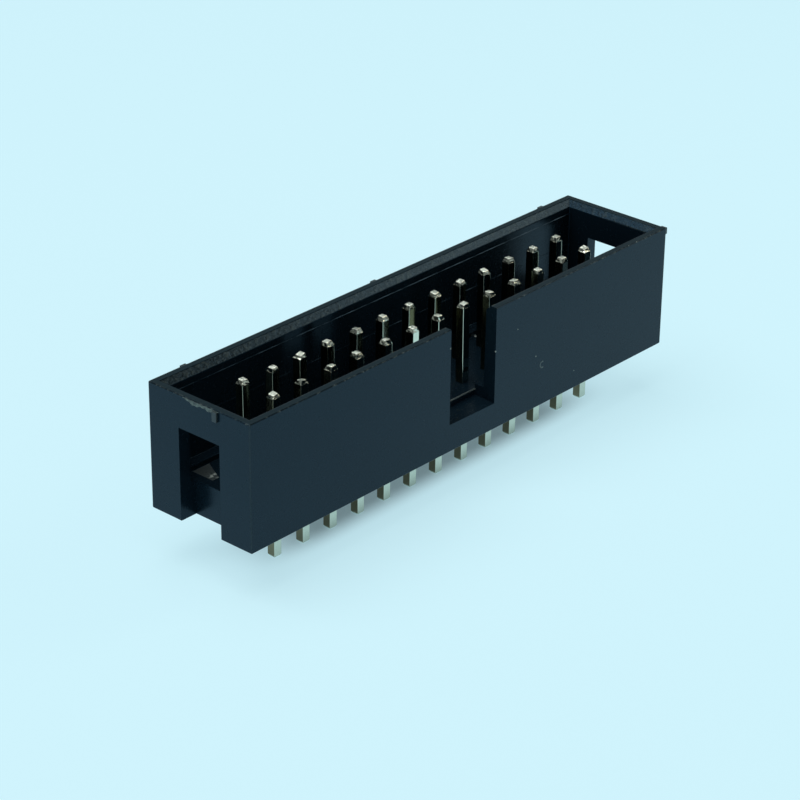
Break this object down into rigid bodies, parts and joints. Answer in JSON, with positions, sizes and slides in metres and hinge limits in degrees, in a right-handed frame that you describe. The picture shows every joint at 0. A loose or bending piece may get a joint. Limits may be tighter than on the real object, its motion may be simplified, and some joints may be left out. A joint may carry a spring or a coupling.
{
  "type": "shrouded pin header",
  "caption": "Straight shrouded pin header: square pins in two rows stand in a black moulded box with a key slot and open ends, for a ribbon cable socket.",
  "frame": {"origin": "middle of the housing in the plane that seats on the circuit board", "axes": "+X along the rows of pins, -Y out of the wall with the key slot, +Z from the board towards the open mouth"},
  "size_m": [0.041, 0.009, 0.0122],
  "materials": {
    "moulding": "black glass-filled polyester, moulded, satin with a slight gloss",
    "pin_plating": "bright tin plate over square brass wire, with drawn and sheared marks"
  },
  "bodies": {
    "root": {"housing": "moulding", "pin_01": "pin_plating", "pin_02": "pin_plating", "pin_03": "pin_plating", "pin_04": "pin_plating", "pin_05": "pin_plating", "pin_06": "pin_plating", "pin_07": "pin_plating", "pin_08": "pin_plating", "pin_09": "pin_plating", "pin_10": "pin_plating", "pin_11": "pin_plating", "pin_12": "pin_plating", "pin_13": "pin_plating", "pin_14": "pin_plating", "pin_15": "pin_plating", "pin_16": "pin_plating", "pin_17": "pin_plating", "pin_18": "pin_plating", "pin_19": "pin_plating", "pin_20": "pin_plating", "pin_21": "pin_plating", "pin_22": "pin_plating", "pin_23": "pin_plating", "pin_24": "pin_plating", "pin_25": "pin_plating", "pin_26": "pin_plating"}
  },
  "joints": []
}
